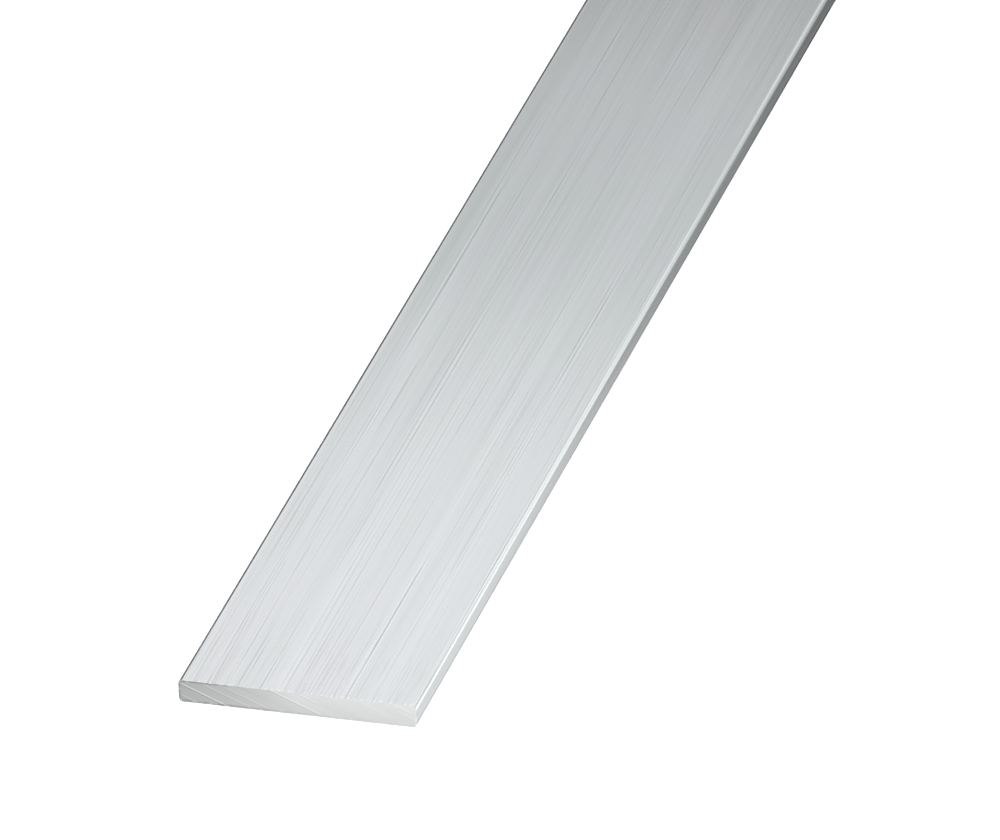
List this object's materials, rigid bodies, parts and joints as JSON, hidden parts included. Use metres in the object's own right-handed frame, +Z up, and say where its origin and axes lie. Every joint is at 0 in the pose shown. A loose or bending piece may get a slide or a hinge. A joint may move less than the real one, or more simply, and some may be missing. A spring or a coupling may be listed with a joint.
{
  "type": "aluminium flat bar",
  "caption": "Straight extruded aluminium flat bar of plain rectangular section, with small rounded long edges, square sawn ends and a mill finish.",
  "frame": {"origin": "under the middle of the bar, on the wide face that it lies on", "axes": "+Y along the bar, from the sawn end that the picture shows to the far end; +X across the width; +Z up through the thickness"},
  "size_m": [0.03, 1, 0.003],
  "materials": {
    "mill_aluminium": "mill finish, satin, with fine die lines along its length"
  },
  "bodies": {
    "root": {"flat_bar": "mill_aluminium"}
  },
  "joints": []
}
